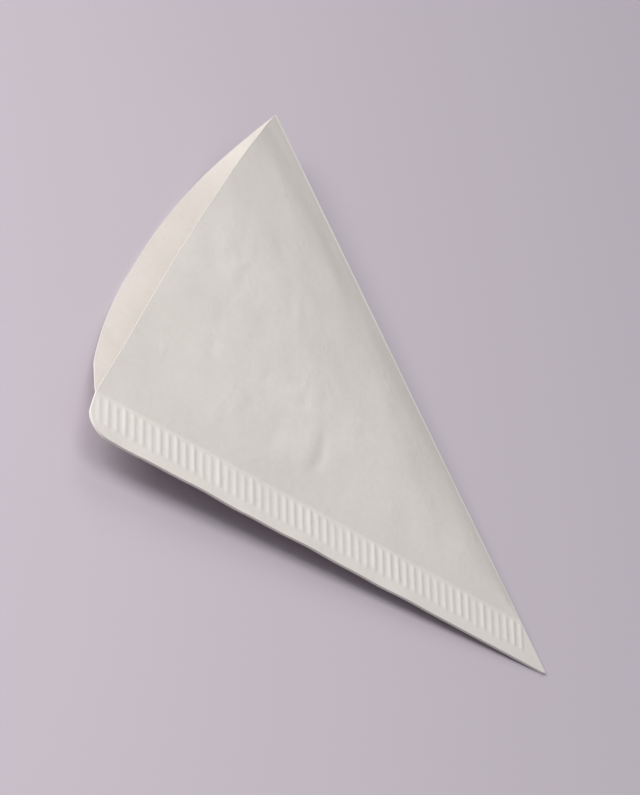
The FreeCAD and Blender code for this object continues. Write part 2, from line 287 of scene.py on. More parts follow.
@dataclass(frozen=True)
class Bow:
    """The shape of the two opened layers: cones and a flat belly through the pocket's point.

    Attributes:
        outline: The flat outline that the layers open from.
        top_bow: Height of the upper layer above the edges, at the mouth.
        bottom_bow: Depth of the lower layer below the edges, at the mouth.
        belly_width: Flat stretch of the lower layer, at the mouth.
        paper: Thickness of one layer.
    """

    outline: Outline
    top_bow: float = 9.2
    bottom_bow: float = 8.0
    belly_width: float = 38.0
    paper: float = 0.25

    @property
    def tilt(self) -> float:
        """Angle, in radians, through which the filter is laid onto its underside."""
        return math.atan(self.bottom_bow / self.outline.mouth_top)

    @property
    def belly_spread(self) -> float:
        """Half width of the flat belly for each millimetre away from the pocket's point."""
        return self.belly_width / (2.0 * self.outline.pocket_reach)

    def from_point(self, plan: np.ndarray) -> tuple[np.ndarray, np.ndarray]:
        """Plan coordinates across and away from the pocket's point."""
        offset = plan - self.outline.pocket_point
        return offset[..., 0], offset[..., 1]

    def room_inside(self, plan: np.ndarray) -> np.ndarray:
        """Distance from plan points to the nearer pressed strip, negative on the strips."""
        outline = self.outline
        return np.minimum(plan @ outline.seam.inward - outline.band,
                          plan @ outline.fold.inward - outline.land)

    def upper_height(self, plan: np.ndarray) -> np.ndarray:
        """Height of the upper layer's inner face above the plane of the edges.

        Args:
            plan: Plan points.

        Returns:
            The height at each point, and nothing on the pressed strips.
        """
        slope = math.atan(self.top_bow / self.outline.pocket_reach)
        dip = math.atan((math.cos(slope) - self.outline.cosine) / math.sin(slope))
        axis = np.array([0.0, math.cos(dip), math.sin(dip)])
        return self._off_strips(plan, self._cone(plan, axis, dip + slope))

    def lower_depth(self, plan: np.ndarray) -> np.ndarray:
        """Depth of the lower layer's inner face below the plane of the edges.

        Args:
            plan: Plan points.

        Returns:
            The depth at each point, and nothing on the pressed strips.
        """
        slope = math.atan(self.bottom_bow / self.outline.pocket_reach)
        leaving = unit(np.array([self.belly_spread, 1.0, -math.tan(slope)]))
        upright = np.array([0.0, math.sin(slope), math.cos(slope)])
        edge = np.array([self.outline.sine, self.outline.cosine, 0.0])
        opening = math.atan((1.0 - edge @ leaving) / (edge @ upright))
        axis = leaving * math.cos(opening) + upright * math.sin(opening)
        across, away = self.from_point(plan)
        on_belly = np.abs(across) <= self.belly_spread * away
        depth = np.where(on_belly, away * math.tan(slope), self._cone(plan, axis, opening))
        return self._off_strips(plan, depth)

    def _cone(self, plan: np.ndarray, axis: np.ndarray, opening: float) -> np.ndarray:
        """Distance from the plane of the edges to a cone through the pocket's point.

        Args:
            plan: Plan points.
            axis: Unit vector along the cone's axis, for the half of the layer towards +X.
            opening: Angle between the cone and its axis, in radians.

        Returns:
            The distance at each point.
        """
        across, away = self.from_point(plan)
        lead = axis[2] ** 2 - math.cos(opening) ** 2
        along = axis[0] * np.abs(across) + axis[1] * away
        rest = along ** 2 - (across ** 2 + away ** 2) * math.cos(opening) ** 2
        root = np.sqrt(np.clip((along * axis[2]) ** 2 - lead * rest, 0.0, None))
        return (along * axis[2] - root) / lead

    def _off_strips(self, plan: np.ndarray, height: np.ndarray) -> np.ndarray:
        """The height held above nothing, and nothing on the pressed strips."""
        open_here = self.room_inside(plan) > ON_STRIP
        return np.where(open_here, np.clip(height, 0.0, None), 0.0)


@dataclass(frozen=True)
class Crimp:
    """The embossed lines that hold the two layers together along the crimped edge.

    Attributes:
        outline: The flat outline.
        outer_margin: Plain strip outside the lines.
        length: Length of a line, across the strip.
        width: Width of a line.
        pitch: Distance from line to line.
        lean: Angle by which the lines lean towards the tip, in degrees.
        first: Distance along the edge at which the inner end of the first line starts.
        last_clear: Plain stretch between the last line and the mouth corner.
        depth: How far a line stands out of the sheet.
        flank: Half width of a line with its soft flanks, as a share of its width.
        end_run: Length over which a line rises at each end.
        end_change: How much the ends of the lines vary.
        depth_change: How much the depth of the lines varies, as a share.
    """

    outline: Outline
    outer_margin: float = 2.4
    length: float = 7.0
    width: float = 1.0
    pitch: float = 2.2
    lean: float = 6.0
    first: float = 5.8
    last_clear: float = 3.4
    depth: float = 0.13
    flank: float = 0.86
    end_run: float = 0.9
    end_change: float = 0.25
    depth_change: float = 0.26

    @property
    def inner_end(self) -> float:
        """Distance of the lines' inner ends from the crimped edge."""
        return self.outer_margin + self.length

    @property
    def count(self) -> int:
        """Number of embossed lines."""
        run = (self.outline.side_length - self.first - self.last_clear
               - self.length * math.tan(math.radians(self.lean)))
        return int(math.floor(run / self.pitch)) + 1

    def phase(self, along: np.ndarray, inside: np.ndarray) -> np.ndarray:
        """Line number of each place, with whole numbers at the middle of the lines."""
        shift = (self.inner_end - inside) * math.tan(math.radians(self.lean))
        return (along - shift - self.first - 0.5 * self.width) / self.pitch

    def strength(self, along: np.ndarray, inside: np.ndarray, variety: np.ndarray) -> np.ndarray:
        """How strongly each place is embossed, from 0 in between to 1 on a line.

        Args:
            along: Distances along the crimped edge.
            inside: Distances from the crimped edge.
            variety: One number around 0 for each line, which alters its ends and depth.

        Returns:
            The strength at each place.
        """
        phase = self.phase(along, inside)
        line = np.clip(np.rint(phase), 0, self.count - 1).astype(int)
        off = np.abs(phase - line) * self.pitch
        across = smooth_step(1.0 - off / (self.flank * self.width))
        change = variety[line]
        outer = inside - self.outer_margin - self.end_change * change
        inner = self.inner_end - inside + self.end_change * np.roll(change, 1)
        ends = smooth_step(outer / self.end_run) * smooth_step(inner / self.end_run)
        return across * ends * (1.0 + self.depth_change * change)


@dataclass(frozen=True)
class Dent:
    """A soft dent or swelling in one layer.

    Attributes:
        along: Distance of its middle along the crimped edge.
        inside: Distance of its middle from the crimped edge.
        length: Half length.
        width: Half width.
        turn: Angle of its length from the crimped edge, in degrees.
        height: Height at its middle, negative for a dent.
    """

    along: float
    inside: float
    length: float
    width: float
    turn: float
    height: float

    def at(self, along: np.ndarray, inside: np.ndarray) -> np.ndarray:
        """Height of the dent at each place.

        Args:
            along: Distances along the crimped edge.
            inside: Distances from the crimped edge.

        Returns:
            The height at each place.
        """
        angle = math.radians(self.turn)
        x, y = along - self.along, inside - self.inside
        lengthways = (x * math.cos(angle) + y * math.sin(angle)) / self.length
        crossways = (-x * math.sin(angle) + y * math.cos(angle)) / self.width
        return self.height * np.exp(-(lengthways ** 2 + crossways ** 2))


UPPER_DENTS = (
    Dent(65.4, 18.2, 3.6, 1.15, 128.0, -0.13),
    Dent(64.1, 22.8, 3.4, 1.15, 98.0, -0.12),
    Dent(67.6, 21.2, 4.6, 1.8, 114.0, 0.12),
    Dent(76.2, 20.9, 6.0, 1.7, 112.0, -0.09),
    Dent(71.2, 20.9, 6.0, 2.4, 116.0, 0.07),
    Dent(86.7, 48.6, 4.2, 1.5, 117.0, -0.09),
    Dent(84.0, 46.1, 3.0, 1.4, 108.0, -0.06),
    Dent(63.3, 33.6, 3.0, 1.1, 114.0, -0.08),
    Dent(69.4, 30.1, 2.8, 1.2, 106.0, -0.07),
    Dent(72.4, 32.5, 3.2, 1.1, 158.0, -0.1),
    Dent(52.1, 31.1, 3.0, 1.2, 150.0, -0.07),
    Dent(70.5, 50.2, 4.6, 1.2, 100.0, 0.09),
    Dent(83.8, 58.5, 4.6, 1.6, 106.0, 0.08),
    Dent(94.6, 17.4, 7.5, 2.4, 126.0, -0.1),
    Dent(79.8, 30.5, 2.2, 1.2, 130.0, -0.1),
    Dent(94.8, 29.6, 2.2, 1.2, 100.0, -0.09),
    Dent(90.5, 17.7, 2.2, 1.2, 100.0, -0.08),
    Dent(84.0, 22.7, 2.0, 1.2, 130.0, -0.08),
    Dent(89.9, 52.0, 2.2, 1.2, 120.0, -0.07),
    Dent(57.8, 15.0, 2.2, 1.2, 100.0, -0.07),
    Dent(74.4, 16.4, 1.6, 1.3, 50.0, 0.09),
    Dent(92.9, 37.9, 2.4, 1.2, 90.0, -0.07),
)

LOWER_DENTS = (
    Dent(88.0, 24.0, 9.0, 3.0, 85.0, 0.22),
    Dent(70.0, 22.0, 8.0, 3.0, 60.0, 0.18),
    Dent(101.0, 40.0, 9.0, 4.0, 100.0, 0.24),
)


@dataclass(frozen=True)
class Cockles:
    """Gentle waves of the sheet, longer along its length than across it.

    Attributes:
        height: Height of a wave whose share is 1.
        copies: Number of waves of each wavelength.
        spread: Spread of their headings, in radians.
        bend: How far they bend, in radians of the wave.
        bend_length: Length of the bends, in wavelengths.
        waves: Wavelength and share of each kind of wave.
    """

    height: float = 0.017
    copies: int = 5
    spread: float = 0.7
    bend: float = 1.2
    bend_length: float = 2.7
    waves: tuple[tuple[float, float], ...] = (
        (26.0, 1.5), (17.0, 1.0), (11.5, 0.7), (8.0, 0.42), (5.6, 0.22))

    def at(self, plan: np.ndarray, seed: int) -> np.ndarray:
        """Height of the waves at plan points.

        Args:
            plan: Plan points.
            seed: Seed of the waves.

        Returns:
            The height at each point.
        """
        random = np.random.default_rng(seed)
        total = np.zeros(plan.shape[:-1])
        for wavelength, share in self.waves:
            for _ in range(self.copies):
                angle = random.normal(0.0, self.spread)
                heading = np.array([math.cos(angle), math.sin(angle)])
                sideways = np.array([-heading[1], heading[0]])
                turn = random.uniform(0.0, 2.0 * math.pi)
                bend = random.uniform(-self.bend, self.bend)
                place = plan @ heading * (2.0 * math.pi / wavelength)
                cross = plan @ sideways * (2.0 * math.pi / (self.bend_length * wavelength))
                total += share * np.sin(place + turn + bend * np.sin(cross + turn))
        return self.height * total


@dataclass(frozen=True)
class MarginWaves:
    """Slight waves that the crimping leaves in the outer margin.

    Attributes:
        reach: How far they go past the outer ends of the lines.
        fade: Distance over which they die away there.
        start: Distance from the tip at which they set in.
        run: Distance over which they set in.
        waves: Height, wavelength and first angle of each wave.
    """

    reach: float = 3.0
    fade: float = 5.0
    start: float = 20.0
    run: float = 30.0
    waves: tuple[Triple, ...] = ((0.10, 31.0, 0.6), (0.06, 13.7, 2.1))

    def at(self, along: np.ndarray, inside: np.ndarray, margin: float) -> np.ndarray:
        """Height of the waves beside the crimped edge.

        Args:
            along: Distances along the crimped edge.
            inside: Distances from the crimped edge.
            margin: Width of the outer margin.

        Returns:
            The height at each place.
        """
        beside = smooth_step((margin + self.reach - inside) / self.fade)
        away = smooth_step((along - self.start) / self.run)
        wave = sum(height * np.sin(along * 2.0 * math.pi / wavelength + turn)
                   for height, wavelength, turn in self.waves)
        return beside * away * wave


@dataclass(frozen=True)
class RimWaves:
    """Waves of a layer's free rim, which die away towards the point.

    Attributes:
        bow: The shape of the opened layers.
        height: Height of the waves at the rim.
        waves: Number in a full turn round the pocket's point, and share, of each kind of wave.
    """

    bow: Bow
    height: float
    waves: tuple[tuple[float, float], ...] = ((9.0, 0.8), (17.0, 0.45), (29.0, 0.2))

    def at(self, plan: np.ndarray, seed: int) -> np.ndarray:
        """Height of the waves at plan points.

        Args:
            plan: Plan points.
            seed: Seed of the waves.

        Returns:
            The height at each point.
        """
        random = np.random.default_rng(seed)
        across, away = self.bow.from_point(plan)
        turn = np.arctan2(across, np.maximum(away, TINY))
        near = smooth_step(np.hypot(across, away) / self.bow.outline.pocket_reach)
        wave = sum(share * np.sin(rate * turn + random.uniform(0.0, 2.0 * math.pi))
                   for rate, share in self.waves)
        return self.height * near ** 2 * wave


@dataclass(frozen=True)
class Relief:
    """What pressing, storing and handling did to the sheet, on top of its plain shape.

    Attributes:
        bow: The shape of the opened layers.
        crimp: The embossed lines.
        seed: Seed of the small irregularities.
        cockles: The gentle waves of the sheet.
        margin_waves: The waves beside the crimped edge.
        fade: Distance from the pressed strips over which the irregularities set in.
        flattened: How far the sheet is pressed between the lines, as a share of their depth.
        pressed_rim: How far the pressing reaches past the ends of the lines.
        pressed_run: Distance along the edge over which it sets in and ends.
        upper_rim: Height of the waves in the upper layer's rim.
        lower_rim: Height of the waves in the lower layer's rim.
        lower_cockle: Height of the lower layer's gentle waves, as a share of the upper one's.
        held_flat: Share of the irregularities that is left where the lower layer lies.
        held_width: Half width that is held flat, as a share of the flat belly's.
        held_run: Further width, in the same measure, over which they come back.
    """

    bow: Bow
    crimp: Crimp
    seed: int = SEED
    cockles: Cockles = Cockles()
    margin_waves: MarginWaves = MarginWaves()
    fade: float = 9.0
    flattened: float = 0.12
    pressed_rim: float = 0.6
    pressed_run: float = 2.0
    upper_rim: float = 0.20
    lower_rim: float = 0.35
    lower_cockle: float = 0.8
    held_flat: float = 0.25
    held_width: float = 0.8
    held_run: float = 0.9

    @property
    def outline(self) -> Outline:
        """The flat outline."""
        return self.bow.outline

    def embossing(self, plan: np.ndarray) -> np.ndarray:
        """Strength of the crimp at each plan point, from 0 to about 1."""
        variety = np.random.default_rng(self.seed).uniform(-1.0, 1.0, self.crimp.count)
        return self.crimp.strength(*self._seam_places(plan), variety)

    def lift(self, plan: np.ndarray, layer: Layer) -> np.ndarray:
        """Height that the sheet's irregularities add to a layer.

        Args:
            plan: Plan points.
            layer: The face that the points lie on.

        Returns:
            The added height at each point.
        """
        along, inside = self._seam_places(plan)
        free = smooth_step(self.bow.room_inside(plan) / self.fade)
        between = self.flattened * self._between(along, inside)
        both = self.crimp.depth * (self.embossing(plan) - between)
        both = both + self.margin_waves.at(along, inside, self.crimp.outer_margin)
        if layer.is_upper:
            own = self.cockles.at(plan, self.seed + 1) + self._dents(along, inside, UPPER_DENTS)
            own = own + RimWaves(self.bow, self.upper_rim).at(plan, self.seed + 2)
            return both + free * own
        own = self.lower_cockle * np.abs(self.cockles.at(plan, self.seed + 3))
        own = own + self._dents(along, inside, LOWER_DENTS)
        own = own + np.abs(RimWaves(self.bow, self.lower_rim).at(plan, self.seed + 4))
        return both + free * own * self._off_belly(plan)

    def _seam_places(self, plan: np.ndarray) -> tuple[np.ndarray, np.ndarray]:
        """Distances along and inside the crimped edge."""
        return plan @ self.outline.seam.along, plan @ self.outline.seam.inward

    def _between(self, along: np.ndarray, inside: np.ndarray) -> np.ndarray:
        """Where the crimping wheel pressed the sheet flat, between and around the lines.

        Args:
            along: Distances along the crimped edge.
            inside: Distances from the crimped edge.

        Returns:
            Share of the pressing at each place, from 0 to 1.
        """
        run = self.pressed_run
        start = smooth_step((along - self.crimp.first + 0.5 * run) / run)
        end = smooth_step((self.outline.side_length - run - along) / run)
        across = (smooth_step(inside - self.crimp.outer_margin + self.pressed_rim)
                  * smooth_step(self.crimp.inner_end + self.pressed_rim - inside))
        return start * end * across

    def _dents(self, along: np.ndarray, inside: np.ndarray, dents: Iterable[Dent]) -> np.ndarray:
        """Sum of the dents of one layer."""
        return sum(dent.at(along, inside) for dent in dents)

    def _off_belly(self, plan: np.ndarray) -> np.ndarray:
        """How much the lower layer's irregularities are held back where it lies on the floor.

        Args:
            plan: Plan points.

        Returns:
            The share that is kept at each point.
        """
        across, away = self.bow.from_point(plan)
        aside = np.abs(across) / np.maximum(self.bow.belly_spread * away, TINY)
        back = smooth_step((aside - self.held_width) / self.held_run)
        return self.held_flat + (1.0 - self.held_flat) * back


@dataclass(frozen=True)
class Placed:
    """Turns plan points of a layer into points in space, in the plane of the edges.

    Attributes:
        bow: The shape of the opened layers.
        relief: The irregularities.
    """

    bow: Bow
    relief: Relief

    def face(self, plan: np.ndarray, layer: Layer) -> np.ndarray:
        """Points in space on one face of the sheet, at plan points."""
        return self.between(plan, layer, 1.0 if layer.is_outer else 0.0)

    def between(self, plan: np.ndarray, layer: Layer, share: float) -> np.ndarray:
        """Points within the thickness of a layer.

        Args:
            plan: Plan points.
            layer: A face of the layer.
            share: 0 on the inner face and 1 on the outer face.

        Returns:
            Points in space, with the same leading shape.
        """
        if layer.is_upper:
            level = self.bow.upper_height(plan) + share * self.bow.paper
        else:
            level = -self.bow.lower_depth(plan) - share * self.bow.paper
        height = level + self.relief.lift(plan, layer)
        return np.concatenate([plan, height[..., None]], axis=-1)


@dataclass
class SheetMesh:
    """Collects the patches of the sheet, and welds them where they touch.

    Attributes:
        points: Arrays of points, one for each patch.
        faces: Faces, as indices into all the points together.
        edge_faces: For each face, whether it lies on a cut edge.
    """

    points: list[np.ndarray] = field(default_factory=list)
    faces: list[tuple[int, ...]] = field(default_factory=list)
    edge_faces: list[bool] = field(default_factory=list)
    _count: int = 0

    def add_points(self, points: np.ndarray) -> np.ndarray:
        """Add points.

        Args:
            points: The points, in any leading shape.

        Returns:
            Their indices, in the same leading shape.
        """
        flat = points.reshape(-1, 3)
        indices = np.arange(self._count, self._count + len(flat)).reshape(points.shape[:-1])
        self.points.append(flat)
        self._count += len(flat)
        return indices

    def add_grid(self, points: np.ndarray, flip: bool = False, cut_edge: bool = False) -> None:
        """Add a patch of four-sided faces over a grid of points.

        Args:
            points: Grid of points, with two leading directions.
            flip: Whether the faces look the other way.
            cut_edge: Whether the patch is a cut edge of the paper.
        """
        grid = self.add_points(points)
        corners = np.stack([grid[:-1, :-1], grid[1:, :-1], grid[1:, 1:], grid[:-1, 1:]], axis=-1)
        rows = corners.reshape(-1, 4)
        if flip:
            rows = rows[:, ::-1]
        self.faces.extend(map(tuple, rows.tolist()))
        self.edge_faces.extend([cut_edge] * len(rows))

    def add_step(self, fine: np.ndarray, coarse: np.ndarray, ratio: int, flip: bool) -> None:
        """Join a fine row of points to a coarse one.

        Args:
            fine: Points of the fine row.
            coarse: Points of the coarse row, one for each ratio fine steps and one more.
            ratio: Number of fine steps to one coarse step.
            flip: Whether the faces look the other way.
        """
        fine_row, coarse_row = self.add_points(fine), self.add_points(coarse)
        for k in range(len(coarse_row) - 1):
            side = [int(i) for i in fine_row[k * ratio:(k + 1) * ratio + 1]]
            face = side + [int(coarse_row[k + 1]), int(coarse_row[k])]
            self.faces.append(tuple(reversed(face)) if flip else tuple(face))
            self.edge_faces.append(False)

    def welded(self, room: float) -> tuple[np.ndarray, list[tuple[int, ...]], list[bool]]:
        """Return points, faces and edge marks, with points closer than room made one.

        Args:
            room: Points within this distance are taken as one.

        Returns:
            The points, the faces without repeated corners, and the cut edge marks.
        """
        points = np.concatenate(self.points)
        keys = np.rint(points / room).astype(np.int64)
        _, first, index = np.unique(keys, axis=0, return_index=True, return_inverse=True)
        index = index.reshape(-1)
        faces: list[tuple[int, ...]] = []
        marks: list[bool] = []
        for face, mark in zip(self.faces, self.edge_faces):
            corners = [int(index[i]) for i in face]
            kept = [c for n, c in enumerate(corners) if c != corners[n - 1]]
            if len(set(kept)) == len(kept) and len(kept) > 2:
                faces.append(tuple(kept))
                marks.append(mark)
        return points[first], faces, marks


@dataclass(frozen=True)
class Lattice:
    """The lines of points that all the patches share.

    Attributes:
        outline: The flat outline.
        rings: Steps from the pocket's point to the mouth.
        ratio: Steps along the crimped band to one ring.
        rays: Steps across the pocket, from the crimped band to the fold.
        tip_ratio: Steps along the tip's edges to one level of the land.
        nose: How far the rounded fold stands out from the last line of the land.
        land_steps: Steps across the land.
        mouth_share: Share of the band's length over which its rows turn to the mouth's curve.
    """

    outline: Outline
    rings: int = 142
    ratio: int = 3
    rays: int = 92
    tip_ratio: int = 4
    nose: float = 0.25
    land_steps: int = 4
    mouth_share: float = 0.1

    @property
    def band_levels(self) -> np.ndarray:
        """Distances from the crimped edge, from the inner border of the band outwards."""
        return np.array([self.outline.band, 9.75, 9.5, 9.25, 9.0, 8.7, 8.3, 7.6, 6.7, 5.8, 4.9,
                         4.1, 3.5, 3.15, 2.9, 2.65, 2.4, 2.1, 1.6, 1.0, 0.5, 0.15, 0.0])

    @property
    def land_levels(self) -> np.ndarray:
        """Distances from the fold, from the inner border of the land to the fold's rounding."""
        return np.linspace(self.outline.land, self.nose, self.land_steps + 1)

    def ring_share(self, fine: bool = False) -> np.ndarray:
        """Share of the way from the pocket's point to the mouth, for each step."""
        return np.linspace(0.0, 1.0, self.rings * (self.ratio if fine else 1) + 1)

    def band_plan(self) -> np.ndarray:
        """Place the crimped band's points.

        Returns:
            Plan points, by station and level.
        """
        outline, levels = self.outline, self.band_levels
        share = self.ring_share(fine=True)[:, None]
        ends = outline.seam_end(levels)
        straight = outline.seam_start + share * (ends[0] - outline.seam_start)
        turned = smooth_step((share - (1.0 - self.mouth_share)) / self.mouth_share)
        along = straight + (ends - ends[0])[None, :] * turned
        return outline.seam.point(along, np.broadcast_to(levels, along.shape))

    def land_plan(self) -> np.ndarray:
        """Place the points of the strip along the fold.

        Returns:
            Plan points, by ring and level.
        """
        outline, levels = self.outline, self.land_levels
        ends = outline.fold_end(levels)
        along = outline.fold_start + self.ring_share()[:, None] * (ends - outline.fold_start)
        return outline.fold.point(along, np.broadcast_to(levels, along.shape))

    def pocket_plan(self) -> np.ndarray:
        """Place the pocket's points.

        Returns:
            Plan points, by ring and ray.
        """
        outline = self.outline
        turns = np.radians(np.linspace(-outline.half_angle, outline.half_angle, self.rays + 1))
        headings = np.stack([np.sin(turns), np.cos(turns)], axis=-1)
        starts = np.broadcast_to(outline.pocket_point, headings.shape)
        reach = outline.reach_mouth(starts, headings)
        distance = self.ring_share()[:, None] * reach[None, :]
        return outline.pocket_point + distance[..., None] * headings[None, :, :]

    def point_plan(self) -> np.ndarray:
        """Place the points of the tip beyond the pocket's point.

        Returns:
            Plan points, by land level and band level. The first row matches the start of the
            band, and the first column that of the land at every tip_ratio steps.
        """
        outline = self.outline
        start, side = self.band_plan()[0], self.land_plan()[0]
        steps = self.tip_ratio * (len(side) - 1) + 1
        seam_run = self.tip_run(outline.seam_start, steps)
        fold_run = self.tip_run(outline.fold_start, len(start))
        seam_side = self._round_tip(seam_run, True, np.zeros(steps))
        fold_side = self._round_tip(fold_run, False, self.nose_inset(fold_run))
        a = np.linspace(0.0, 1.0, steps)[:, None, None]
        band = self.band_levels
        b = ((band[0] - band) / (band[0] - band[-1]))[None, :, None]
        inner = side[0] + a[:, 0] * (side[-1] - side[0])
        across = (1 - a) * start[None, :, :] + a * fold_side[None, :, :]
        down = (1 - b) * inner[:, None, :] + b * seam_side[:, None, :]
        flat = ((1 - a) * (1 - b) * start[0] + a * (1 - b) * side[-1]
                + (1 - a) * b * start[-1] + a * b * seam_side[-1])
        return across + down - flat

    def tip_run(self, along: float, steps: int) -> np.ndarray:
        """Distances left to the tip's foremost point, in even steps from a place on an edge."""
        return np.linspace(along - self.outline.tip_start + self.tip_arc, 0.0, steps)

    @property
    def tip_arc(self) -> float:
        """Length of half of the tip's rounding."""
        return self.outline.tip_radius * math.radians(90.0 - self.outline.half_angle)

    def nose_inset(self, run: np.ndarray) -> np.ndarray:
        """How far the nose stands out at distances left to the foremost point of the tip."""
        return self.nose * np.clip(run / self.tip_arc, 0.0, 1.0)

    def _round_tip(self, run: np.ndarray, on_seam: bool, inset: np.ndarray) -> np.ndarray:
        """Points down one straight edge and round half of the tip.

        Args:
            run: Distances left to the foremost point of the tip.
            on_seam: Whether the edge is the crimped one.
            inset: How far inside the edge each point lies.

        Returns:
            Plan points, the last of which is the foremost point of the tip.
        """
        outline = self.outline
        sign = -1.0 if on_seam else 1.0
        along = outline.tip_start + np.clip(run - self.tip_arc, 0.0, None)
        on_edge = (outline.seam if on_seam else outline.fold).point(along, inset)
        turn = run / outline.tip_radius
        spoke = np.stack([sign * np.sin(turn), -np.cos(turn)], axis=-1)
        on_arc = outline.tip_centre + (outline.tip_radius - inset)[:, None] * spoke
        return np.where((run >= self.tip_arc)[:, None], on_edge, on_arc)


@dataclass(frozen=True)
class Rim:
    """The cut edge of the sheet, from the upper outer face round to the lower one.

    Attributes:
        placed: Where the faces are.
        levels: Share of the layer's thickness at each step from the outer face inwards.
        groove: How far the slit between the two layers is set back.
        closing: How far the nose stands out where the slit has fully closed into the fold.
    """

    placed: Placed
    levels: tuple[float, ...] = (1.0, 0.75, 0.2, 0.0)
    groove: float = 0.13
    closing: float = 0.2

    def pressed(self, plan: np.ndarray, outward: np.ndarray, slit: np.ndarray) -> np.ndarray:
        """Points across the edge where the two layers are pressed together.

        Args:
            plan: Plan points of the edge.
            outward: Unit vectors out of the sheet, one for each.
            slit: Share of the groove's depth that each point has.

        Returns:
            A grid of points, by place and step.
        """
        steps = [(Layer.UPPER_OUTER, share) for share in self.levels]
        steps += [(Layer.LOWER_OUTER, share) for share in self.levels[-2::-1]]
        columns = []
        for layer, share in steps:
            back = self.groove * slit * (1.0 if share == 0.0 else 0.0)
            columns.append(self._column(plan - outward * back[:, None], plan, layer, share))
        return np.stack(columns, axis=1)

    def open_layer(self, plan: np.ndarray, upper: bool) -> np.ndarray:
        """Points across the edge of one layer, from its outer face to its inner face."""
        layer = Layer.UPPER_OUTER if upper else Layer.LOWER_OUTER
        return np.stack([self._column(plan, plan, layer, share) for share in self.levels], axis=1)

    def fold_nose(self, plan: np.ndarray, outward: np.ndarray, inset: np.ndarray) -> np.ndarray:
        """Points round the fold, where the paper turns from one layer into the other.

        Args:
            plan: Plan points along the last line of the land.
            outward: Unit vectors out of the sheet, one for each.
            inset: How far the nose stands out from those points.

        Returns:
            A grid of points, by place and step.
        """
        blend = smooth_step(inset / self.closing)
        flat = self.pressed(plan, outward, 1.0 - blend)
        middle = 0.5 * (flat[:, 0] + flat[:, -1])
        half = 0.5 * (flat[:, 0, 2] - flat[:, -1, 2])
        turns = np.linspace(0.5 * math.pi, -0.5 * math.pi, flat.shape[1])
        columns = []
        for step, turn in enumerate(turns):
            shift = outward * (inset * math.cos(turn))[:, None]
            point = middle.copy()
            point[:, :2] = flat[:, step, :2] + shift
            point[:, 2] = middle[:, 2] + half * math.sin(turn)
            columns.append(flat[:, step] * (1.0 - blend)[:, None] + point * blend[:, None])
        columns[0], columns[-1] = flat[:, 0], flat[:, -1]
        return np.stack(columns, axis=1)

    def _column(self, plan: np.ndarray, own: np.ndarray, layer: Layer, share: float) -> np.ndarray:
        """Points across the edge that may be set back, at the height of the edge itself.

        Args:
            plan: Plan points to use.
            own: The edge's own plan points, which give the height.
            layer: A face of the layer.
            share: 0 on the inner face and 1 on the outer face.

        Returns:
            The points in space.
        """
        points = self.placed.between(own, layer, share)
        points[:, :2] = plan
        return points


@dataclass
class Patch:
    """One region of the sheet.

    Attributes:
        lattice: The shared lines of points.
        placed: Where the faces are.
        rim: The cut edge.
    """

    lattice: Lattice
    placed: Placed
    rim: Rim

    @property
    def outline(self) -> Outline:
        """The flat outline."""
        return self.lattice.outline

    def add_to(self, mesh: SheetMesh) -> None:
        """Add the region's faces to the mesh."""
        raise NotImplementedError


@dataclass
class CrimpedBand(Patch):
    """The pressed strip along the crimped edge, with its embossed lines and cut edge.

    Attributes:
        slit_run: Distance over which the slit at the mouth opens into the pocket.
    """

    slit_run: float = 0.6

    def add_to(self, mesh: SheetMesh) -> None:
        """Add the strip's faces.

        Args:
            mesh: The mesh to add them to.
        """
        plan = self.lattice.band_plan()
        mesh.add_grid(self.placed.face(plan, Layer.UPPER_OUTER), flip=True)
        mesh.add_grid(self.placed.face(plan, Layer.LOWER_OUTER))
        side = plan[:, -1]
        outward = np.broadcast_to(-self.outline.seam.inward, side.shape)
        cut = self.rim.pressed(side, outward, np.ones(len(side)))
        mesh.add_grid(cut, flip=True, cut_edge=True)
        end, levels = plan[-1], self.lattice.band_levels
        slit = smooth_step((levels[0] - levels) / self.slit_run)
        mesh.add_grid(self.rim.pressed(end, self.end_outward(end), slit), cut_edge=True)

    def end_outward(self, end: np.ndarray) -> np.ndarray:
        """Find which way the mouth edge and its rounded corner face.

        Args:
            end: Plan points along them.

        Returns:
            Unit vectors out of the sheet.
        """
        from_corner = end - self.outline.corner_centre
        on_mouth = (from_corner @ self.outline.seam.inward > 0.0)[:, None]
        return np.where(on_mouth, self.outline.mouth_outward(end), unit(from_corner))


class OpenPocket(Patch):
    """The two opened layers, each with its outer face, inner face and rim at the mouth."""

    def add_to(self, mesh: SheetMesh) -> None:
        """Add the layers' faces.

        Args:
            mesh: The mesh to add them to.
        """
        plan = self.lattice.pocket_plan()
        fine = self.lattice.band_plan()[:, 0]
        for layer in Layer:
            looks_up = layer in (Layer.UPPER_OUTER, Layer.LOWER_INNER)
            grid = self.placed.face(plan, layer)
            edge = self.placed.face(fine, layer)
            mesh.add_grid(grid[:, 1:], flip=not looks_up)
            mesh.add_step(edge, grid[:, 1], self.lattice.ratio, flip=looks_up)
        for upper in (True, False):
            mesh.add_grid(self.rim.open_layer(plan[-1], upper), flip=not upper, cut_edge=True)


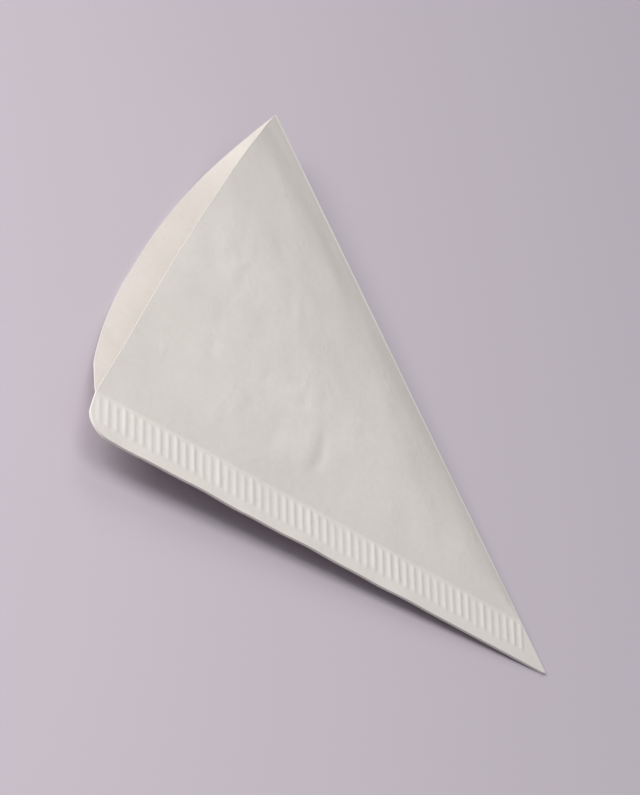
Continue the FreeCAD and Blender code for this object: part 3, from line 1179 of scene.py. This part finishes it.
class FoldStrip(Patch):
    """The narrow strip along the fold, and the rounded fold itself."""

    def add_to(self, mesh: SheetMesh) -> None:
        """Add the strip's faces and the fold.

        Args:
            mesh: The mesh to add them to.
        """
        plan = self.lattice.land_plan()
        mesh.add_grid(self.placed.face(plan, Layer.UPPER_OUTER))
        mesh.add_grid(self.placed.face(plan, Layer.LOWER_OUTER), flip=True)
        side = plan[:, -1]
        outward = np.broadcast_to(-self.outline.fold.inward, side.shape)
        nose = self.rim.fold_nose(side, outward, np.full(len(side), self.lattice.nose))
        mesh.add_grid(nose)
        end, levels = plan[-1], self.lattice.land_levels
        half = 0.5 * (levels[0] - levels[-1])
        slit = smooth_step((levels[0] - levels) / half) * smooth_step((levels - levels[-1]) / half)
        cut = self.rim.pressed(end, self.outline.mouth_outward(end), slit)
        mesh.add_grid(cut, flip=True, cut_edge=True)
        mesh.add_grid(np.stack([cut[-1], nose[-1]]), flip=True, cut_edge=True)


@dataclass
class TipPatch(Patch):
    """The flat point of the filter, beyond the pocket.

    Attributes:
        ease: Distance over which its edge goes from facing straight out to facing round.
    """

    ease: float = 0.3

    def add_to(self, mesh: SheetMesh) -> None:
        """Add the point's faces.

        Args:
            mesh: The mesh to add them to.
        """
        lattice, outline = self.lattice, self.outline
        plan, land = lattice.point_plan(), lattice.land_plan()[0]
        for layer in (Layer.UPPER_OUTER, Layer.LOWER_OUTER):
            flip = not layer.is_upper
            grid = self.placed.face(plan[:, 1:], layer)
            mesh.add_grid(grid, flip=flip)
            mesh.add_step(grid[:, 0], self.placed.face(land, layer), lattice.tip_ratio, flip=flip)
        seam, fold = plan[:, -1], plan[-1]
        outward = self._outward(seam, -outline.seam.inward)
        mesh.add_grid(self.rim.pressed(seam, outward, np.ones(len(seam))), cut_edge=True)
        inset = lattice.nose_inset(lattice.tip_run(outline.fold_start, len(fold)))
        outward = self._outward(fold, -outline.fold.inward)
        mesh.add_grid(self.rim.fold_nose(fold, outward, inset), flip=True)

    def _outward(self, places: np.ndarray, straight: np.ndarray) -> np.ndarray:
        """Find which way a straight edge and its half of the tip face.

        Args:
            places: Plan points down them.
            straight: Unit vector out of the straight edge.

        Returns:
            Unit vectors out of the sheet.
        """
        from_centre = places - self.outline.tip_centre
        limit = self.outline.tip_radius * self.outline.sine
        share = smooth_step((-from_centre[:, 1] - limit + 0.5 * self.ease) / self.ease)[:, None]
        return unit(straight * (1.0 - share) + unit(from_centre) * share)


Value = Union["Socket", float, Sequence[float]]


@dataclass(frozen=True)
class Grain:
    """One kind of fine pattern in a surface.

    Attributes:
        scale: Number of its cells in a metre.
        detail: Number of finer levels in it.
        roughness: Strength of each finer level.
        low: Where its noise is held at 0, if it is used as patches.
        high: Where its noise is held at 1, if it is used as patches.
    """

    scale: float
    detail: float
    roughness: float
    low: float = 0.0
    high: float = 1.0


@dataclass(frozen=True)
class Socket:
    """An output of a shader node, which combines with others by the usual operators.

    Attributes:
        graph: The graph that the node is in.
        output: The output itself.
    """

    graph: "ShaderGraph"
    output: bpy.types.NodeSocket

    def __add__(self, other: Value) -> "Socket":
        """Sum of this and another value."""
        return self.graph.math("ADD", self, other)

    def __radd__(self, other: Value) -> "Socket":
        """Sum of another value and this."""
        return self.graph.math("ADD", other, self)

    def __mul__(self, other: Value) -> "Socket":
        """Product of this and another value."""
        return self.graph.math("MULTIPLY", self, other)

    def __rmul__(self, other: Value) -> "Socket":
        """Product of another value and this."""
        return self.graph.math("MULTIPLY", other, self)


class ShaderGraph:
    """The node tree of one material, with a short way to add and link nodes."""

    def __init__(self, name: str) -> None:
        """Start an empty graph.

        Args:
            name: Name of the new material.
        """
        self.material = bpy.data.materials.new(name)
        self.material.use_nodes = True
        self.tree = self.material.node_tree
        self.tree.nodes.clear()

    def node(self, kind: str, settings: Mapping[str, object] | None = None,
             inputs: Mapping[str | int, Value] | None = None) -> bpy.types.Node:
        """Add a node.

        Args:
            kind: Type of the node.
            settings: Values of the node's own properties.
            inputs: Values or sockets for its inputs, by name or number.

        Returns:
            The new node.
        """
        node = self.tree.nodes.new(kind)
        for key, value in (settings or {}).items():
            setattr(node, key, value)
        for key, value in (inputs or {}).items():
            if isinstance(value, Socket):
                self.tree.links.new(value.output, node.inputs[key])
            else:
                node.inputs[key].default_value = value
        return node

    def out(self, node: bpy.types.Node, name: str | int = 0) -> Socket:
        """Return one output of a node as a socket."""
        return Socket(self, node.outputs[name])

    def math(self, operation: str, *values: Value) -> Socket:
        """Return a sum, product or other function of numbers and sockets."""
        inputs = dict(enumerate(values))
        return self.out(self.node("ShaderNodeMath", {"operation": operation}, inputs))

    def noise(self, place: Socket, grain: Grain) -> Socket:
        """Return a grain's noise around 0.5 at a place."""
        inputs = {"Vector": place, "Scale": grain.scale, "Detail": grain.detail,
                  "Roughness": grain.roughness}
        return self.out(self.node("ShaderNodeTexNoise", None, inputs), "Fac")

    def patches(self, place: Socket, grain: Grain) -> Socket:
        """Turn a grain's noise into soft patches.

        Args:
            place: The place at which the noise is read.
            grain: The grain, with the limits that its noise is held between.

        Returns:
            The noise between those limits, stretched to run from 0 to 1.
        """
        inputs = {"Value": self.noise(place, grain), "From Min": grain.low,
                  "From Max": grain.high}
        settings = {"interpolation_type": "SMOOTHSTEP"}
        return self.out(self.node("ShaderNodeMapRange", settings, inputs))

    def mix(self, share: Value, first: Value, second: Value) -> Socket:
        """Return a blend of two colours."""
        node = self.node("ShaderNodeMix", {"data_type": "RGBA"},
                         {"Factor": share, 6: first, 7: second})
        return self.out(node, 2)

    def attribute(self, name: str) -> Socket:
        """Return what the mesh stores under a name."""
        return self.out(self.node("ShaderNodeAttribute", {"attribute_name": name}), "Fac")

    def bump(self, height: Socket, depth: float, normal: Socket | None) -> Socket:
        """Return a normal that a relief of some depth, in metres, has turned.

        Args:
            height: The relief, from 0 to 1.
            depth: Height in metres at 1.
            normal: The normal before, or nothing for the surface's own.

        Returns:
            The turned normal.
        """
        inputs = {"Strength": 1.0, "Distance": depth, "Height": height}
        if normal is not None:
            inputs["Normal"] = normal
        return self.out(self.node("ShaderNodeBump", None, inputs))

    def finish(self, inputs: Mapping[str, Value]) -> bpy.types.Material:
        """Give the material its surface.

        Args:
            inputs: Values or sockets of the surface's inputs, by name.

        Returns:
            The finished material.
        """
        shader = self.out(self.node("ShaderNodeBsdfPrincipled", None, inputs))
        self.node("ShaderNodeOutputMaterial", None, {"Surface": shader})
        return self.material


@dataclass(frozen=True)
class PaperFinish:
    """The look of matt, unprinted filter paper.

    Attributes:
        colour: Colour of the paper.
        shade: Colour of its slightly thicker or damper patches.
        cut_colour: Colour of its cut edges.
        roughness: Roughness of its surface.
        sheen: Strength of its faint shine.
        cloud_share: Share of the wide clouds in the shade, the rest being specks.
        pressed_share: How far the embossed lines take on the cut edges' colour.
        clouds: Wide, soft clouds in its colour.
        specks: Fine specks in its colour.
        fibres: Relief of the fibres.
        crepe: Wider relief of the crepe.
        dimples: Dimples that handling left.
        dimpled: Where those dimples are.
        fibre_depth: Depth of the fibres' relief, in metres.
        crepe_depth: Depth of the crepe, in metres.
        dimple_depth: Depth of the dimples, in metres.
    """

    colour: Rgba = (0.795, 0.757, 0.715, 1.0)
    shade: Rgba = (0.735, 0.696, 0.654, 1.0)
    cut_colour: Rgba = (0.780, 0.745, 0.704, 1.0)
    roughness: float = 0.9
    sheen: float = 0.25
    cloud_share: float = 0.62
    pressed_share: float = 0.35
    clouds: Grain = Grain(55.0, 4.0, 0.6, 0.30, 0.72)
    specks: Grain = Grain(900.0, 3.0, 0.6, 0.35, 0.75)
    fibres: Grain = Grain(1500.0, 5.0, 0.62)
    crepe: Grain = Grain(420.0, 3.0, 0.5)
    dimples: Grain = Grain(330.0, 1.0, 0.5, 0.48, 0.74)
    dimpled: Grain = Grain(90.0, 2.0, 0.5, 0.44, 0.68)
    fibre_depth: float = 0.000035
    crepe_depth: float = 0.00002
    dimple_depth: float = 0.00004

    def material(self) -> bpy.types.Material:
        """Build the material.

        Returns:
            The material, with its fibres, crepe, dimples and cloudy colour.
        """
        graph = ShaderGraph("filter_paper")
        place = graph.out(graph.node("ShaderNodeTexCoord"), "Object")
        shaded = (self.cloud_share * graph.patches(place, self.clouds)
                  + (1.0 - self.cloud_share) * graph.patches(place, self.specks))
        base = graph.mix(shaded, self.colour, self.shade)
        pressed = self.pressed_share * graph.attribute("pressed")
        base = graph.mix(pressed, base, self.cut_colour)
        base = graph.mix(graph.attribute("cut_edge"), base, self.cut_colour)
        dimples = graph.patches(place, self.dimpled) * graph.patches(place, self.dimples)
        normal = graph.bump(dimples, self.dimple_depth, None)
        normal = graph.bump(graph.noise(place, self.crepe), self.crepe_depth, normal)
        normal = graph.bump(graph.noise(place, self.fibres), self.fibre_depth, normal)
        return graph.finish({"Base Color": base, "Roughness": self.roughness,
                             "Specular IOR Level": self.sheen, "Normal": normal})


@dataclass(frozen=True)
class FloorFinish:
    """The look of the plain, matt floor.

    Attributes:
        colour: Colour of the floor.
        roughness: Roughness of its surface.
        sheen: Strength of its faint shine.
    """

    colour: Rgba = (0.590, 0.536, 0.600, 1.0)
    roughness: float = 0.85
    sheen: float = 0.1

    def material(self) -> bpy.types.Material:
        """Build the material."""
        return ShaderGraph("floor").finish({
            "Base Color": self.colour, "Roughness": self.roughness,
            "Specular IOR Level": self.sheen})


@dataclass
class PaperFilter:
    """The whole filter: one welded sheet, laid down on the frame's floor.

    Attributes:
        bow: The shape of the opened layers.
        crimp: The embossed lines.
        finish: The look of the paper.
        weld: Points within this distance, in millimetres, are taken as one.
        sharp: Angle, in degrees, from which an edge isn't smoothed.
    """

    bow: Bow
    crimp: Crimp
    finish: PaperFinish
    weld: float = 1e-5
    sharp: float = 50.0

    def build(self) -> bpy.types.Object:
        """Build the filter and give it its place in the frame.

        Returns:
            The finished object.
        """
        outline, relief = self.bow.outline, Relief(self.bow, self.crimp)
        placed = Placed(self.bow, relief)
        lattice = Lattice(outline)
        rim = Rim(placed)
        sheet = SheetMesh()
        for patch in (CrimpedBand, OpenPocket, FoldStrip, TipPatch):
            before = len(sheet.faces)
            patch(lattice, placed, rim).add_to(sheet)
            LOG.info("%s: %d faces", patch.__name__, len(sheet.faces) - before)
        points, faces, marks = sheet.welded(self.weld)
        mesh = bpy.data.meshes.new("folded_sheet")
        mesh.from_pydata((self.laid_down(points) * MM).tolist(), [], faces)
        self._mark(mesh, relief.embossing(points[:, :2]), marks)
        mesh.materials.append(self.finish.material())
        mesh.update()
        mesh.shade_smooth()
        mesh.set_sharp_from_angle(angle=math.radians(self.sharp))
        triangles = sum(len(face) - 2 for face in faces)
        LOG.info("folded sheet: %d points, %d faces, %d triangles",
                 len(points), len(faces), triangles)
        return add_item("folded_sheet", mesh)

    def laid_down(self, points: np.ndarray) -> np.ndarray:
        """Turn points from the plane of the edges onto the frame's floor.

        Args:
            points: Points in the plane of the edges, in millimetres.

        Returns:
            The points as they lie, still in millimetres.
        """
        _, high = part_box(NODE)
        outline = self.bow.outline
        sine, cosine = math.sin(self.bow.tilt), math.cos(self.bow.tilt)
        below = self.bow.bottom_bow + self.bow.paper
        base = np.array([high.x / MM - outline.side_length * outline.sine,
                         high.y / MM - (outline.mouth_top * cosine + below * sine),
                         below * cosine - outline.mouth_top * sine])
        turned = np.stack([points[:, 0],
                           points[:, 1] * cosine - points[:, 2] * sine,
                           points[:, 1] * sine + points[:, 2] * cosine], axis=1) + base
        turned[:, 2] = np.maximum(turned[:, 2], 0.0)
        return turned

    def _mark(self, mesh: bpy.types.Mesh, pressed: np.ndarray, marks: Sequence[bool]) -> None:
        """Store where the sheet is embossed and where it is cut."""
        for name, domain, values in (("pressed", "POINT", pressed), ("cut_edge", "FACE", marks)):
            stored = mesh.attributes.new(name, "FLOAT", domain)
            stored.data.foreach_set("value", np.array(values, dtype=np.float32))


@dataclass(frozen=True)
class Viewpoint:
    """The camera, which looks at the filter from the photo's angle.

    Attributes:
        right: Direction to the right of the picture, in the frame of the edges' plane.
        up: Direction up the picture, in that frame.
        back: Direction towards the camera, in that frame.
        distance: Distance from the target, in metres.
        lens: Focal length, in millimetres.
        sensor: Width of the long side of the sensor, in millimetres.
        lift: How far the filter sits above the middle of the picture, in metres.
        shift: How far it sits to the right of the middle, in metres.
        sight: How far the camera sees, in metres.
    """

    right: Triple = (0.2655, -0.6401, 0.7210)
    up: Triple = (0.4934, 0.7326, 0.4688)
    back: Triple = (-0.8283, 0.2312, 0.5103)
    distance: float = 0.948
    lens: float = 225.0
    sensor: float = 36.0
    lift: float = -0.0088
    shift: float = 0.0105
    sight: float = 50.0

    def add(self, target: Vector, tilt: float) -> None:
        """Add the camera and make it the scene's own.

        Args:
            target: The point that it looks at, in metres.
            tilt: Angle through which the filter was laid down, in radians.
        """
        turn = Matrix.Rotation(tilt, 3, "X")
        ways = (self.right, self.up, self.back)
        right, up, back = (turn @ Vector(way).normalized() for way in ways)
        camera = bpy.data.cameras.new("camera")
        camera.lens = self.lens
        camera.sensor_width = self.sensor
        camera.clip_end = self.sight
        item = add_item("camera", camera)
        place = target + back * self.distance - up * self.lift - right * self.shift
        rotation = Matrix((right, up, back)).transposed().to_4x4()
        item.matrix_world = Matrix.Translation(place) @ rotation
        bpy.context.scene.camera = item


@dataclass(frozen=True)
class SoftLamp:
    """A large, soft lamp.

    Attributes:
        name: Name of the lamp.
        towards: Direction from the filter to the lamp, in the frame of the edges' plane.
        distance: Distance of the lamp, in metres.
        size: Side of the lamp, in metres.
        power: Power, in watts.
        colour: Colour of the light.
    """

    name: str
    towards: Triple
    distance: float
    size: float
    power: float
    colour: Triple

    def add(self, target: Vector, tilt: float) -> None:
        """Add the lamp, turned to a target.

        Args:
            target: The point that it lights, in metres.
            tilt: Angle through which the filter was laid down, in radians.
        """
        light = bpy.data.lights.new(self.name, "AREA")
        light.size = self.size
        light.energy = self.power
        light.color = self.colour
        way = Matrix.Rotation(tilt, 3, "X") @ Vector(self.towards).normalized()
        item = add_item(self.name, light)
        item.location = target + way * self.distance
        item.rotation_euler = way.to_track_quat("Z", "Y").to_euler()


@dataclass(frozen=True)
class Studio:
    """Floor, lamps and surrounding light.

    Attributes:
        floor_size: Side of the floor, in metres.
        ambient: Colour of the surrounding light.
        ambient_strength: Strength of the surrounding light.
        lamps: The lamps.
        floor_finish: The look of the floor.
    """

    floor_size: float = 12.0
    ambient: Rgba = (0.965, 0.975, 1.0, 1.0)
    ambient_strength: float = 0.33
    lamps: tuple[SoftLamp, ...] = (
        SoftLamp("key", (-0.44, 0.78, 0.42), 1.50, 0.57, 13.8, (1.0, 0.985, 0.968)),
        SoftLamp("top", (-0.35, 0.55, 0.75), 0.45, 0.25, 0.55, (1.0, 0.985, 0.968)),
        SoftLamp("fill", (0.55, 0.65, 0.60), 0.90, 0.50, 1.40, (1.0, 0.985, 0.970)),
    )
    floor_finish: FloorFinish = FloorFinish()

    def add(self, target: Vector, tilt: float) -> None:
        """Add the floor, the lamps and the surrounding light.

        Args:
            target: The point that the lamps light, in metres.
            tilt: Angle through which the filter was laid down, in radians.
        """
        half = 0.5 * self.floor_size
        mesh = bpy.data.meshes.new("floor")
        corners = [(-half, -half, 0.0), (half, -half, 0.0), (half, half, 0.0), (-half, half, 0.0)]
        mesh.from_pydata(corners, [], [(0, 1, 2, 3)])
        mesh.materials.append(self.floor_finish.material())
        add_item("floor", mesh)
        for lamp in self.lamps:
            lamp.add(target, tilt)
        world = bpy.data.worlds.new("surroundings")
        world.use_nodes = True
        background = world.node_tree.nodes["Background"]
        background.inputs["Color"].default_value = self.ambient
        background.inputs["Strength"].default_value = self.ambient_strength
        bpy.context.scene.world = world
        LOG.info("studio: floor, %d lamps and surrounding light", len(self.lamps))


def main() -> None:
    """Build the filter, its studio and its camera."""
    logging.basicConfig(level=logging.INFO, format="%(name)s: %(message)s")
    outline = Outline()
    bow = Bow(outline)
    sheet = PaperFilter(bow, Crimp(outline), PaperFinish()).build()
    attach(sheet, BODY)
    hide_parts(NODE)
    low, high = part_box(NODE)
    target = 0.5 * (low + high)
    Studio().add(target, bow.tilt)
    Viewpoint().add(target, bow.tilt)
    bpy.context.scene.view_settings.view_transform = "Standard"
    LOG.info("the filter is %.1f by %.1f by %.1f mm", *[side / MM for side in high - low])


if __name__ == "__main__":
    main()
